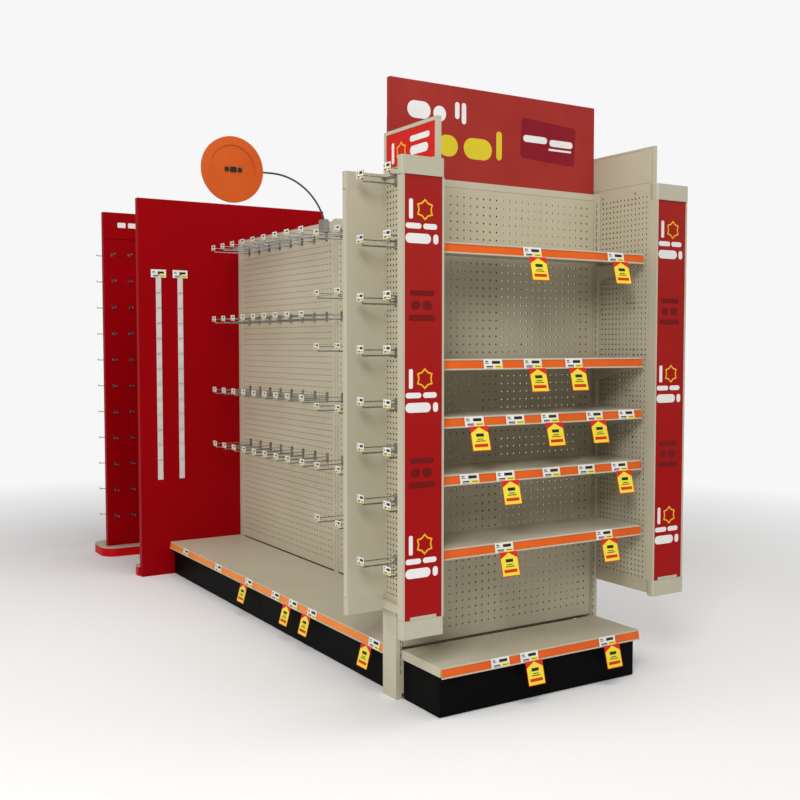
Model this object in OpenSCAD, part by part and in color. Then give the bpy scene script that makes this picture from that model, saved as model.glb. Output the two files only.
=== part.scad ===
// Gondola shelving run with a shelved end cap, two side wings and a card-display end.
// X = 0 is the run's centre line, Y = 0 the front face of the end-cap uprights, Z = 0 the floor.

/* [Uprights and slots] */
// Height of every upright above the floor
upright_h = 1885; // [1700:5:2100]
// Height of the lowest slot
slot_first = 92; // [80:1:110]
// Distance from one slot to the next
slot_pitch = 28; // [24:0.5:34]
// Height of one slot
slot_h = 20; // [16:0.5:21]
// Width of one slot
slot_w = 4.6; // [4.2:0.1:6]
// Steel wall of every upright
upright_wall = 2; // [1.5:0.1:2.5]

/* [End cap] */
// Clear width between the two end-cap uprights
endcap_w = 914; // [720:1:1220]
// Width of an end-cap upright's slotted face
endcap_upright_w = 24; // [22:1:40]
// Depth of an end-cap upright
endcap_upright_d = 93; // [80:1:120]
// Reach of the shelves and the deck in front of the uprights, to the top of the ticket rail
shelf_d = 257; // [190:1:330]
// How far the kick plate stands in front of the uprights
kick_reach = 238; // [170:1:300]
// Distance of each shelf below the top of the uprights, brought to the nearest slot
shelf_drops = [1295, 1043, 847, 651, 259]; // [200:1:1500]

/* [Shelf and deck sheet] */
// Steel thickness of shelves and decks
sheet = 2; // [1.2:0.1:3]
// Height of the ticket rail along each front edge
rail_h = 38; // [32:1:45]
// Lean of the ticket rail, its lower edge furthest out
rail_lean = 10; // [0:1:20]
// Thickness of the coloured ticket strip
strip_t = 1.8; // [1:0.1:2.2]
// Drop of the folded side flanges
flange_h = 30; // [20:1:34]
// Diameter of the holes along the deck and shelf edges
edge_hole_d = 6; // [4:0.5:8]
// Top of every base deck above the floor
deck_top = 182; // [150:1:220]
// Height of the kick plates
kick_h = 142; // [100:1:146]

/* [Run] */
// Distance between upright centres along the run
bay_l = 1152; // [920:1:1400]
// Width of a run upright along the run
run_upright_w = 40; // [30:1:50]
// Half the depth of the run's uprights
spine_half = 50; // [40:1:70]
// Reach of the run's decks from the centre line, to the top of the ticket rail
run_deck_reach = 468; // [380:1:560]
// How far the run's kick plates stand from the centre line
run_kick_reach = 450; // [360:1:540]
// Thickness of the hardboard peg panels
panel_t = 5; // [2:0.5:6.5]

/* [Peg hooks] */
// Distance between peg holes in the wings' boards
peg_pitch = 20; // [18:0.5:26]
// Distance between peg holes in the run's boards
run_peg_pitch = 30; // [25:0.5:36]
// Height of a hook's upper wire above its lower one
wire_rise = 20; // [14:1:25]
// Diameter of a peg hole
peg_hole_d = 6.6; // [6.2:0.1:8]
// Wire diameter of the hooks
wire_d = 5.6; // [4:0.1:6]
// Length of the run's hooks
run_hook_l = 208; // [120:1:300]
// Length of the wings' hooks
wing_hook_l = 138; // [80:1:140]
// Width of a label plate
plate_w = 48; // [30:1:60]
// Height of a label plate
plate_h = 28; // [20:1:36]
// Distance of the closely spaced hooks' rows below the top of the uprights
narrow_drops = [1160, 860, 480, 100]; // [90:1:1500]
// Distance of the widely spaced hooks' rows below the top of the uprights
wide_drops = [1420, 1160, 900, 640, 380, 120]; // [90:1:1500]
// Distance between the closely spaced hooks along the run
narrow_pitch = 133; // [100:1:200]
// Distance between the widely spaced hooks along the run
wide_pitch = 200; // [150:1:300]
// Distance of the wings' hook rows below the top of the wings
wing_drops = [1385, 1165, 985, 825, 645, 465, 265, 45]; // [45:1:1500]

/* [Wings] */
// Width of a wing, out from the end cap
wing_w = 161; // [155:1:220]
// Reach of a wing in front of the end-cap uprights
wing_reach = 305; // [270:1:380]
// Underside of the wings above the floor
wing_bottom = 318; // [280:1:420]
// How far the wings rise above the uprights
wing_rise = 5; // [0:1:40]
// Distance of the hanging studs from the top and the bottom of a wing
stud_inset = 314; // [200:1:400]
// Thickness of a wing's posts, front to back
post_d = 28; // [22:1:45]
// Height of the moulded caps on the posts
cap_h = 60; // [40:1:80]
// Height of the small sign on top of each wing
wing_sign_h = 142; // [80:1:220]

/* [Signs] */
// Height of the header sign above the uprights
header_h = 348; // [250:1:500]
// Diameter of the round aisle sign
disc_d = 300; // [220:1:360]
// Radius of the bend in the aisle sign's arm
arm_bend_r = 290; // [230:1:350]
// Lean of the arm away from upright where the bend starts
arm_lean = 20; // [10:1:30]
// Straight end of the arm, from the bend to the disc
arm_straight = 47.5; // [30:0.5:80]
// Diameter of the arm
arm_d = 9; // [7:0.5:12]

/* [Card end] */
// Height of the end panel and the card wall
card_h = 2084; // [1900:1:2300]
// Thickness of the end panel, the web and the card wall
board_t = 38; // [18:1:50]
// Reach of the end panel to the left of the centre line
panel_left = 637; // [530:1:760]
// Reach of the end panel to the right of the centre line
panel_right = 499; // [490:1:600]
// Distance from the end panel's front to the card wall's front
alcove_d = 703; // [560:1:900]
// Height of the red plinth
plinth_h = 50; // [30:1:90]
// Length of a hanging clip strip
clip_strip_l = 1160; // [900:1:1250]
// Distance from the end panel's left edge to the first clip strip
strip_inset = 112; // [80:1:160]
// Distance between the two clip strips
strip_pitch = 124; // [100:1:160]

/* [Hidden] */

$fn = 48;
putty = "#c9c1ab";
orange = "#ee7d25";
red = "#b01018";
black = "#161616";
white = "#f2f0ea";
steel = "#8f9396";

gap = 0.3;             // running clearance between separate pieces
endcap_half = endcap_w / 2;
upright_out = endcap_half + endcap_upright_w;
slot_count = floor((upright_h - slot_first - slot_h - 12) / slot_pitch) + 1;
hook_t = 3;            // plate thickness of the shelf brackets
bracket_x = endcap_half + upright_wall + 1;
pan_half = bracket_x;
hang_drop = 22;        // slot's lower edge below the shelf top
pan_rear = 6;          // gap between shelf and upright, which lets the shelf tilt
lip_t = 1.6;           // folded lips of the ticket rail
lip_h = 5;
rail_gap = strip_t + 0.8;
edge_hole_pitch = slot_pitch;
deck_under = deck_top - sheet;
shoe_half = 10;
foot_pad_d = 32;
kick_inset = 4;        // end-cap kick plate's ends, in from the uprights
kick_t = 2;
shoe_x = endcap_half - kick_inset - kick_t - foot_pad_d / 2 - 2;
foot_clear = 15;       // underside of the base shoes
rear_panel_y = 12;
rail_size = 25;
panel_low = deck_top + 4;
panel_high = upright_h - rail_size - 2;

run_y = endcap_upright_d + run_upright_w / 2;
run_end = run_y + 2 * bay_l + run_upright_w / 2;
mid_y = run_y + bay_l;
panel_face = spine_half - 4;
shoe_reach = run_kick_reach - 2 - spine_half;
cap_top = upright_h - 8;
top_cap_h = 38;

wing_top = upright_h + wing_rise;
wing_in = upright_out + 2;
wing_out = wing_in + wing_w;
wing_rear = endcap_upright_d + 1;
front_post_y = -wing_reach + 2;
panel_y0 = front_post_y + post_d;
panel_y1 = wing_rear - post_d;
stud_z = [wing_bottom + stud_inset, wing_top - stud_inset];
stud_y = endcap_upright_d / 2;
stud_r = 4.4;
lift = 18;             // height of the keyhole above its slot

peg_first = 205;
prong_d = 5;
plate_over = 9;        // how far a hook's back plate passes its prongs
narrow_start = 88;     // first narrow column beyond the middle upright
narrow_before = 65;    // the one narrow column on the near side of it
wide_start = 220;      // first wide column on the near side of it
wing_columns = [panel_y0 + 80, -15];    // the rear hooks pass in front of the uprights
wing_low = wing_bottom + 40;   // lower edge of a wing's panel
wing_high = wing_top - 14;     // upper edge of a wing's panel

header_y = endcap_upright_d - 51;    // front face of the header sign

end_y = run_end;
wall_y = end_y + alcove_d;
plinth_top = plinth_h + 5;
web_x = (panel_right - panel_left) / 2;
card_rows = floor((card_h - 256 - 200) / 159) + 1;
card_top_row = card_h - 256;
strip_x = [-panel_left + strip_inset, -panel_left + strip_inset + strip_pitch];
strip_peg_z = 1675;

arm_y = mid_y + narrow_start;
arm_x = spine_half + 14;
arm_foot = upright_h - 45;
arm_kink = upright_h + 12;
disc_z = arm_kink + arm_bend_r * (1 - sin(arm_lean));
disc_t = 16;
disc_bore = 12;        // how far the arm goes into the disc

function shelf_slot(n) = round((upright_h - shelf_drops[n - 1] - hang_drop - slot_first) / slot_pitch);
function shelf_z(n) = slot_first + shelf_slot(n) * slot_pitch + hang_drop;
// The peg row nearest to a height
function peg_z(height, pitch) = peg_first + round((height - peg_first) / pitch) * pitch;
// The heights of the hook rows that a panel has room for
function rows(drops, top, low, high, pitch) = [for (drop = drops) let (z = peg_z(top - drop, pitch))
    if (z - 12 > low && z + pitch + plate_over < high) z];
run_low = panel_low;
run_high = cap_top - top_cap_h;
narrow_rows = rows(narrow_drops, upright_h, run_low, run_high, run_peg_pitch);
wide_rows = rows(wide_drops, upright_h, run_low, run_high, run_peg_pitch);
wing_rows = rows(wing_drops, wing_top, wing_low, wing_high, peg_pitch);
narrow_count = floor((bay_l - narrow_start - run_upright_w - 40) / narrow_pitch) + 1;
wide_count = floor((bay_l - wide_start - run_upright_w - 20) / wide_pitch) + 1;
narrow_columns = [for (i = [-1:narrow_count - 1])
    mid_y + (i < 0 ? -narrow_before : narrow_start + i * narrow_pitch)];
wide_columns = [for (i = [0:wide_count - 1]) mid_y - wide_start - i * wide_pitch];
// Hooks of one side of the run, as [place along the run, height]
run_places = concat([for (y = narrow_columns, z = narrow_rows) [y, z]],
    [for (y = wide_columns, z = wide_rows) [y, z]]);
spare_place = [mid_y - bay_l / 2, peg_z(285, run_peg_pitch)];

module block(low, high) {
    translate(low) cube(high - low);
}

module both_sides() {
    children();
    mirror([1, 0, 0]) children();
}

// An X-Z outline drawn out along Y
module along(y0, y1) {
    translate([0, y1, 0]) rotate([90, 0, 0]) linear_extrude(y1 - y0) children();
}

// Turns a piece that reaches out along +X so that it reaches out in front of the end cap
module face_front() {
    rotate([0, 0, -90]) children();
}

module round_rect(low, high, r) {
    translate([low[0] + r, low[1]]) square([high[0] - low[0] - 2 * r, high[1] - low[1]]);
    translate([low[0], low[1] + r]) square([high[0] - low[0], high[1] - low[1] - 2 * r]);
    for (x = [low[0] + r, high[0] - r], y = [low[1] + r, high[1] - r]) {
        translate([x, y]) circle(r);
    }
}

// ---- shelves and decks, reaching out along +X with their top at z = 0 ----

module ticket_rail(depth) {
    out = rail_gap + lip_t;
    translate([depth, 0]) rotate(rail_lean) {
        translate([-sheet, -rail_h]) square([sheet, rail_h]);
        translate([-sheet, -lip_t]) square([out + sheet, lip_t]);
        translate([rail_gap, -lip_h]) square([lip_t, lip_h]);
        translate([-sheet, -rail_h]) square([out + sheet, lip_t]);
        translate([rail_gap, -rail_h]) square([lip_t, lip_h]);
    }
}

// insets hold a side flange back from its edge, to leave the edge free to rest on a shoe
module pan(width, rear, depth, drop, rear_drop, insets = [0, 0]) {
    holes = floor((width - 40) / edge_hole_pitch);
    low = -width / 2 + insets[0];
    high = width / 2 - insets[1];
    difference() {
        union() {
            block([rear, -width / 2, -sheet], [depth, width / 2, 0]);
            along(-width / 2, width / 2) ticket_rail(depth);
            block([rear, low, -drop], [depth - sheet, low + sheet, 0]);
            block([rear, high - sheet, -drop], [depth - sheet, high, 0]);
            block([rear, low, -rear_drop], [rear + sheet, high, 0]);
        }
        for (i = [0:holes], x = [rear + 22, depth - 16]) {
            translate([x, (i - holes / 2) * edge_hole_pitch, -sheet - 1])
                cylinder(d = edge_hole_d, h = sheet + 2);
        }
    }
}

module ticket_strip(width, depth) {
    along(-width / 2, width / 2) translate([depth, 0]) rotate(rail_lean)
        translate([gap, -rail_h + lip_t]) square([strip_t, rail_h - 2 * lip_t - gap]);
}

// ---- end cap ----

module keyhole(z) {
    translate([upright_out - upright_wall - 1, stud_y, z]) rotate([0, 90, 0]) {
        cylinder(r = stud_r + 0.2, h = upright_wall + 2);
        translate([-lift, 0, 0]) cylinder(r = 8, h = upright_wall + 2);
        translate([-lift, -stud_r - 0.2, 0]) cube([lift, 2 * stud_r + 0.4, upright_wall + 2]);
    }
}

module endcap_uprights() {
    color(putty) both_sides() difference() {
        block([endcap_half, 0, 0], [upright_out, endcap_upright_d, upright_h]);
        block([endcap_half + upright_wall, upright_wall, -1],
            [upright_out - upright_wall, endcap_upright_d - upright_wall, upright_h + 1]);
        for (i = [0:slot_count - 1]) {
            translate([bracket_x + hook_t / 2 - slot_w / 2, -1, slot_first + i * slot_pitch])
                cube([slot_w, upright_wall + 2, slot_h]);
        }
        for (z = stud_z) keyhole(z);
    }
}

module channel_rail(z0, z1, y0, y1) {
    difference() {
        block([-endcap_half, y0, z0], [endcap_half, y1, z1]);
        block([-endcap_half - 1, y0 + 2, z0 - 1], [endcap_half + 1, y1 - 2, z1 - 2]);
    }
}

module endcap_rails() {
    color(putty) {
        channel_rail(upright_h - rail_size, upright_h, rear_panel_y + panel_t, endcap_upright_d);
        channel_rail(upright_h / 2, upright_h / 2 + rail_size, rear_panel_y + panel_t, endcap_upright_d);
        block([-endcap_half, -4, 0], [endcap_half, endcap_upright_d, 3]);
        block([-endcap_half, endcap_upright_d - 3, 3], [endcap_half, endcap_upright_d, 60]);
    }
}

module endcap_back_panel() {
    color(putty) block([-endcap_half + 2, rear_panel_y, panel_low],
        [endcap_half - 2, rear_panel_y + panel_t, panel_high]);
}

module endcap_deck() {
    color(putty) translate([0, 0, deck_top]) face_front()
        pan(2 * pan_half, pan_rear, shelf_d, flange_h + 4, sheet);
}

module endcap_ticket_strip() {
    color(orange) translate([0, 0, deck_top]) face_front() ticket_strip(2 * pan_half, shelf_d);
}

module shelf_pan(n) {
    color(putty) translate([0, 0, shelf_z(n)]) face_front()
        pan(2 * pan_half - 2 * gap, pan_rear, shelf_d, flange_h, 20);
}

module shelf_ticket_strip(n) {
    color(orange) translate([0, 0, shelf_z(n)]) face_front()
        ticket_strip(2 * pan_half - 2 * gap, shelf_d);
}

// Bracket blade, hung by an upper hook and steadied by a plain tab two slots lower
module bracket_blade() {
    front = shelf_d - 18;
    reach = upright_wall + 1;
    polygon([[1, -6], [1, -hang_drop + 12], [-reach - 2, -hang_drop + 12], [-reach - 2, -hang_drop - 5],
        [-reach, -hang_drop - 5], [-reach, -hang_drop + gap], [1, -hang_drop + gap],
        [1, -hang_drop - 2 * slot_pitch + 11], [-reach, -hang_drop - 2 * slot_pitch + 11],
        [-reach, -hang_drop - 2 * slot_pitch + 1], [1, -hang_drop - 2 * slot_pitch + 1],
        [1, -hang_drop - 2 * slot_pitch - 16], [12, -hang_drop - 2 * slot_pitch - 16],
        [front, -flange_h - 6], [front, -6]]);
}

module shelf_brackets(n) {
    color(putty) translate([0, 0, shelf_z(n)]) both_sides() {
        face_front() along(bracket_x, bracket_x + hook_t) bracket_blade();
        block([bracket_x - 14, -shelf_d + 20, -flange_h - 2], [bracket_x, -pan_rear - 6, -flange_h]);
    }
}

// ---- base: shoes, feet and kick plates ----

module base_shoe(reach) {
    difference() {
        union() {
            block([0, -shoe_half, deck_under - 3], [reach, shoe_half, deck_under]);
            block([0, -1.5, foot_clear], [reach - 50, 1.5, deck_under]);
            block([0, -shoe_half, foot_clear], [reach, shoe_half, foot_clear + 3]);
            block([reach - 3, -shoe_half, foot_clear], [reach, shoe_half, deck_under]);
        }
        translate([reach - 28, 0, foot_clear - 1]) cylinder(d = 11, h = 5);
    }
}

module levelling_foot() {
    cylinder(d = foot_pad_d, h = 6);
    translate([0, 0, 6]) cylinder(d = 18, h = foot_clear - 6, $fn = 6);
    cylinder(d = 10, h = 58);
}

module at_run_shoes() {
    both_sides() for (k = [0:2]) translate([spine_half, run_y + k * bay_l, 0]) children();
}

module at_endcap_shoes() {
    both_sides() translate([shoe_x, 0, 0]) face_front() children();
}

module base_shoes() {
    color(putty) {
        at_run_shoes() base_shoe(shoe_reach);
        at_endcap_shoes() base_shoe(kick_reach - 2);
        both_sides() block([shoe_x + shoe_half, 0, 20], [endcap_half, 0.7 * endcap_upright_d, 150]);
        both_sides() block([shoe_x - 1.5, 0, 20], [shoe_x + shoe_half, 0.7 * endcap_upright_d, 150]);
    }
}

module levelling_feet() {
    color(steel) {
        at_run_shoes() translate([shoe_reach - 28, 0, 0]) levelling_foot();
        at_endcap_shoes() translate([kick_reach - 30, 0, 0]) levelling_foot();
    }
}

module kick_plates() {
    half = endcap_half - kick_inset;
    low = 3;
    color(black) {
        block([-half, -kick_reach, low], [half, -kick_reach + kick_t, kick_h]);
        both_sides() block([half - kick_t, -kick_reach, low], [half, -8, kick_h]);
        both_sides() for (k = [0:1]) {
            start = k == 0 ? endcap_upright_d + 2 : mid_y + 1;
            stop = k == 0 ? mid_y - 1 : run_end - 2;
            block([run_kick_reach - 2, start, low], [run_kick_reach, stop, kick_h]);
            block([run_kick_reach - 11, start, low], [run_kick_reach - 2, stop, low + 2]);
        }
    }
}

// ---- run ----

module run_uprights() {
    color(putty) for (k = [0:2]) translate([0, run_y + k * bay_l, 0]) difference() {
        block([-spine_half, -run_upright_w / 2, 0], [spine_half, run_upright_w / 2, upright_h]);
        block([-spine_half + upright_wall, -run_upright_w / 2 + upright_wall, -1],
            [spine_half - upright_wall, run_upright_w / 2 - upright_wall, upright_h + 1]);
        for (i = [0:slot_count - 1]) {
            translate([-spine_half - 1, -slot_w / 2, slot_first + i * slot_pitch])
                cube([2 * spine_half + 2, slot_w, slot_h]);
        }
    }
}

module run_rails() {
    reach = panel_face - panel_t;
    color(putty) for (k = [0:1], z = [60, upright_h / 2, upright_h - 2 * rail_size]) {
        start = run_y + k * bay_l + run_upright_w / 2;
        difference() {
            block([-reach, start, z], [reach, start + bay_l - run_upright_w, z + rail_size]);
            block([-reach + 2, start - 1, z - 1], [reach - 2, start + bay_l, z + rail_size - 2]);
        }
    }
}

// Folded covers that close the spine between the uprights at the top
module run_top_caps() {
    low = cap_top - top_cap_h;
    color(putty) for (k = [0:1]) {
        start = run_y + k * bay_l + run_upright_w / 2;
        difference() {
            block([-panel_face - 2, start, low], [panel_face + 2, start + bay_l - run_upright_w, cap_top]);
            block([-panel_face, start - 1, low - 1], [panel_face, start + bay_l, cap_top - 2]);
        }
    }
}

module prong_holes(pitch) {
    for (z = [0, pitch]) {
        translate([-panel_t - 1, 0, z]) rotate([0, 90, 0]) cylinder(d = peg_hole_d, h = panel_t + 2);
    }
}

module run_back_panels() {
    color(putty) both_sides() difference() {
        for (k = [0:1]) {
            start = run_y + k * bay_l + run_upright_w / 2;
            block([panel_face - panel_t, start + 1, panel_low],
                [panel_face, start + bay_l - run_upright_w - 1, panel_high]);
        }
        for (place = run_places) {
            translate([panel_face, place[0], place[1]]) prong_holes(run_peg_pitch);
        }
        translate([panel_face, spare_place[0], spare_place[1]]) prong_holes(run_peg_pitch);
    }
}

// Peg hook reaching out along +X from a panel face at x = 0
module peg_hook(reach, pitch) {
    block([0, -11, -plate_over], [2, 11, pitch + plate_over]);
    rotate([0, 90, 0]) cylinder(d = wire_d, h = reach);
    translate([reach, 0, -wire_d / 2]) cylinder(d = wire_d, h = 16);
    translate([0, 0, wire_rise]) rotate([0, 90, 0]) cylinder(d = wire_d - 1.6, h = reach + 8);
    for (z = [0, pitch]) {
        translate([0, 0, z]) rotate([0, -90, 0]) cylinder(d = prong_d, h = 10);
    }
}

module label_plate(reach) {
    translate([reach + 8, -plate_w / 2, wire_rise + 2 - plate_h / 2]) cube([1.6, plate_w, plate_h]);
}

module run_hooks() {
    color(steel) both_sides() for (place = run_places) {
        translate([panel_face, place[0], place[1]]) peg_hook(run_hook_l, run_peg_pitch);
    }
}

module run_label_plates() {
    color(white) both_sides() for (place = run_places) {
        translate([panel_face, place[0], place[1]]) label_plate(run_hook_l);
    }
}

// k is the bay: 0 next to the end cap, 1 at the far end
function deck_start(k) = k == 0 ? endcap_upright_d + 2 : mid_y + 0.75;
function deck_stop(k) = k == 0 ? mid_y - 0.75 : run_end - 2;

module deck_frame(side, k) {
    mirror([side < 0 ? 1 : 0, 0, 0]) translate([0, (deck_start(k) + deck_stop(k)) / 2, deck_top]) children();
}

module run_deck(side, k) {
    color(putty) deck_frame(side, k)
        pan(deck_stop(k) - deck_start(k), spine_half + 2, run_deck_reach, flange_h + 4, sheet,
            k == 0 ? [0, shoe_half + 2] : [shoe_half + 2, 0]);
}

module run_ticket_strip(side, k) {
    color(orange) deck_frame(side, k) ticket_strip(deck_stop(k) - deck_start(k), run_deck_reach);
}

// ---- wings, drawn on the right and mirrored for the left ----

module on_side(side) {
    mirror([side < 0 ? 1 : 0, 0, 0]) children();
}

module tube_outline(low, high, wall) {
    difference() {
        translate(low) square(high - low);
        translate(low + [wall, wall]) square(high - low - [2 * wall, 2 * wall]);
    }
}

module wing_frame(side) {
    low = wing_bottom + cap_h;
    high = wing_top - cap_h;
    color(putty) on_side(side) {
        translate([0, 0, low]) linear_extrude(high - low) {
            tube_outline([wing_in, front_post_y], [wing_out, front_post_y + post_d], 1.5);
            tube_outline([wing_in, wing_rear - post_d], [wing_out, wing_rear], 1.5);
            for (x = [wing_in, wing_out - 2]) {
                translate([x, front_post_y - 2.4]) square([2, 2.4]);
            }
            for (x = [wing_in, wing_out - 8]) {
                translate([x, front_post_y - 4]) square([8, 1.6]);
            }
        }
        block([wing_in, panel_y0, wing_low - 30], [wing_in + 20, panel_y1, wing_low]);
        block([wing_in, panel_y0, wing_high], [wing_in + 20, panel_y1, wing_top]);
        for (z = stud_z) {
            block([wing_in - 1.5, stud_y - 14, z - 24], [wing_in, wing_rear - post_d + 8, z + 34]);
            translate([wing_in - 7, stud_y, z]) rotate([0, 90, 0]) cylinder(r = stud_r, h = 7);
            translate([upright_out - upright_wall - 4.4, stud_y, z]) rotate([0, 90, 0]) cylinder(r = 7.4, h = 4);
        }
    }
}

module wing_panel(side) {
    color(putty) on_side(side) difference() {
        block([wing_in, panel_y0, wing_low], [wing_in + panel_t, panel_y1, wing_high]);
        for (y = wing_columns, z = wing_rows) {
            translate([wing_in + panel_t, y, z]) prong_holes(peg_pitch);
        }
    }
}

module wing_cap(y0, y1, low) {
    translate([0, 0, low]) difference() {
        linear_extrude(cap_h) round_rect([wing_in - 1, y0 - 4], [wing_out + 4, y1], 9);
        translate([0, 0, 4]) linear_extrude(cap_h - 8) round_rect([wing_in + 3, y0], [wing_out, y1 - 4], 5);
    }
}

module wing_caps(side) {
    front = [front_post_y - 2, front_post_y + post_d];
    color(putty) on_side(side) for (z = [wing_bottom, wing_top - cap_h]) {
        wing_cap(front[0], front[1], z);
        wing_cap(wing_rear - post_d + 4, wing_rear, z);
    }
}

module wing_graphic(side) {
    low = wing_bottom + cap_h + gap;
    high = wing_top - cap_h - gap;
    color(red) on_side(side)
        block([wing_in + 2 + gap, front_post_y - 2.1, low], [wing_out - 2 - gap, front_post_y - gap, high]);
}

module wing_sign(side) {
    top = wing_top + wing_sign_h;
    color(putty) on_side(side) difference() {
        block([wing_in, -wing_reach + 17, wing_top], [wing_in + 16, wing_rear - 42, top]);
        block([wing_in + 13, -wing_reach + 31, wing_top + 12], [wing_in + 17, wing_rear - 56, top - 12]);
    }
}

module wing_hooks(side) {
    color(steel) on_side(side) for (y = wing_columns, z = wing_rows) {
        translate([wing_in + panel_t, y, z]) {
            peg_hook(wing_hook_l, peg_pitch);
            label_plate(wing_hook_l);
        }
    }
}

// ---- signs ----

module header_sign() {
    color(red) block([-upright_out, header_y, upright_h], [upright_out, header_y + 20, upright_h + header_h]);
}

module header_prongs() {
    middle = (endcap_half + upright_out) / 2;
    color(steel) both_sides()
        block([middle - 8, header_y + 20, upright_h - 120],
            [middle + 8, header_y + 28, upright_h + 0.6 * header_h]);
}

// Socket on the run's edge that carries the arm of the round sign
module sign_bracket() {
    color(steel) on_side(-1) difference() {
        block([spine_half + gap, arm_y - 27, arm_foot - 10], [arm_x + 12, arm_y + 27, upright_h + 4]);
        translate([arm_x, arm_y, arm_foot]) cylinder(d = arm_d + 0.1, h = 100);
    }
    color(steel) on_side(-1)
        block([panel_face - 20, arm_y - 20, cap_top], [spine_half + gap, arm_y + 20, cap_top + 4]);
}

// The arm rises from its socket, leans out, bends over and reaches sideways into the disc
module sign_arm() {
    reach = arm_x + arm_bend_r * cos(arm_lean);
    color("#4a4d4f") on_side(-1) translate([0, arm_y, 0]) {
        translate([arm_x, 0, arm_foot]) cylinder(d = arm_d, h = arm_kink - arm_foot);
        translate([arm_x, 0, arm_kink]) sphere(d = arm_d + 0.6);
        translate([reach, 0, disc_z - arm_bend_r]) rotate([90, 0, 0]) rotate([0, 0, 90])
            rotate_extrude(angle = 90 - arm_lean) translate([arm_bend_r, 0]) circle(d = arm_d);
        translate([reach, 0, disc_z]) rotate([0, 90, 0]) cylinder(d = arm_d, h = arm_straight + disc_bore);
    }
}

module sign_disc() {
    centre = arm_x + arm_bend_r * cos(arm_lean) + arm_straight + disc_d / 2;
    color(orange) on_side(-1) translate([centre, arm_y, disc_z]) difference() {
        rotate([90, 0, 0]) translate([0, 0, -disc_t / 2]) rotate_extrude() {
            square([disc_d / 2, disc_t - 4]);
            translate([0.37 * disc_d, 0]) square([0.13 * disc_d, disc_t]);
        }
        translate([-disc_d / 2 - 1, 0, 0]) rotate([0, 90, 0])
            cylinder(d = arm_d + 0.1, h = disc_bore + 1.5);
    }
}

// ---- card end ----

module end_panel() {
    color(red) {
        block([-panel_left, end_y, 0], [panel_right, end_y + board_t, card_h]);
        for (x = strip_x) {
            translate([x, end_y, strip_peg_z]) rotate([90, 0, 0]) cylinder(r = 2.95, h = 9);
            translate([x, end_y - 9, strip_peg_z]) rotate([90, 0, 0]) cylinder(r = 5, h = 2);
        }
    }
}

module card_wall() {
    color(red) {
        block([-panel_left + 12, wall_y, plinth_top], [panel_right - 12, wall_y + board_t, card_h]);
        block([-panel_left + 15, wall_y - 4, card_h - 158], [panel_right - 15, wall_y, card_h - 3]);
        block([web_x - 30, end_y + board_t, plinth_top], [web_x + 30, wall_y, card_h]);
        block([-panel_left + 77, wall_y + board_t, plinth_top], [-panel_left + 92, wall_y + 160, card_h - 158]);
    }
}

module card_hook(reach) {
    block([0, -9, -8], [2, 9, 14]);
    rotate([0, 90, 0]) cylinder(d = 4, h = reach);
    translate([reach, 0, -2]) cylinder(d = 4, h = 10);
}

module card_hooks() {
    color(steel) for (row = [0:card_rows - 1]) translate([0, 0, card_top_row - row * 159]) {
        for (i = [0:2], x = [-panel_left + 65, web_x + 295]) {
            translate([x + i * 102, wall_y, 0]) face_front() card_hook(60);
        }
        translate([-panel_left + 77, wall_y + 100, 0]) rotate([0, 0, 180]) card_hook(80);
    }
}

module plinth_plan() {
    translate([0, end_y + board_t]) round_rect([-panel_left - 10, 0], [panel_right + 10, 72], 34);
    translate([-panel_left - 10, end_y + board_t]) square([panel_left + panel_right + 20, 36]);
    round_rect([-panel_left - 28, wall_y - 75], [panel_right + 28, wall_y + 215], 88);
    translate([web_x - 90, end_y + board_t + 30]) square([180, alcove_d - board_t - 60]);
}

module plinth() {
    color(red) linear_extrude(plinth_h) plinth_plan();
    color(putty) translate([0, 0, plinth_h]) linear_extrude(5) plinth_plan();
}

// Strip with its label holder, hung on a peg through a hole near its top
module clip_strip(n) {
    clips = floor((clip_strip_l - 120) / 84);
    color(white) translate([strip_x[n - 1], end_y - 3, strip_peg_z]) difference() {
        union() {
            block([-15, 0, 20 - clip_strip_l], [15, 2, 18]);
            block([-43, -1.6, -20], [43, 0, 24]);
            for (i = [0:clips - 1]) {
                block([-11, -10, -100 - i * 84], [11, 0, -97 - i * 84]);
                block([-11, -10, -100 - i * 84], [11, -8, -90 - i * 84]);
            }
        }
        translate([0, 10, 0]) rotate([90, 0, 0]) cylinder(r = 3, h = 20);
    }
}

endcap_uprights();
endcap_rails();
endcap_back_panel();
endcap_deck();
endcap_ticket_strip();
shelf_pan(1);  // shelf_1_pan
shelf_pan(2);  // shelf_2_pan
shelf_pan(3);  // shelf_3_pan
shelf_pan(4);  // shelf_4_pan
shelf_pan(5);  // shelf_5_pan
shelf_brackets(1);  // shelf_1_brackets
shelf_brackets(2);  // shelf_2_brackets
shelf_brackets(3);  // shelf_3_brackets
shelf_brackets(4);  // shelf_4_brackets
shelf_brackets(5);  // shelf_5_brackets
shelf_ticket_strip(1);  // shelf_1_ticket_strip
shelf_ticket_strip(2);  // shelf_2_ticket_strip
shelf_ticket_strip(3);  // shelf_3_ticket_strip
shelf_ticket_strip(4);  // shelf_4_ticket_strip
shelf_ticket_strip(5);  // shelf_5_ticket_strip
kick_plates();
base_shoes();
levelling_feet();
run_uprights();
run_rails();
run_back_panels();
run_top_caps();
run_deck(-1, 0);  // deck_left_1
run_deck(-1, 1);  // deck_left_2
run_deck(1, 0);  // deck_right_1
run_deck(1, 1);  // deck_right_2
run_ticket_strip(-1, 0);  // deck_left_1_ticket_strip
run_ticket_strip(-1, 1);  // deck_left_2_ticket_strip
run_ticket_strip(1, 0);  // deck_right_1_ticket_strip
run_ticket_strip(1, 1);  // deck_right_2_ticket_strip
run_hooks();
run_label_plates();
wing_frame(-1);  // wing_left_frame
wing_panel(-1);  // wing_left_panel
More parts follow.
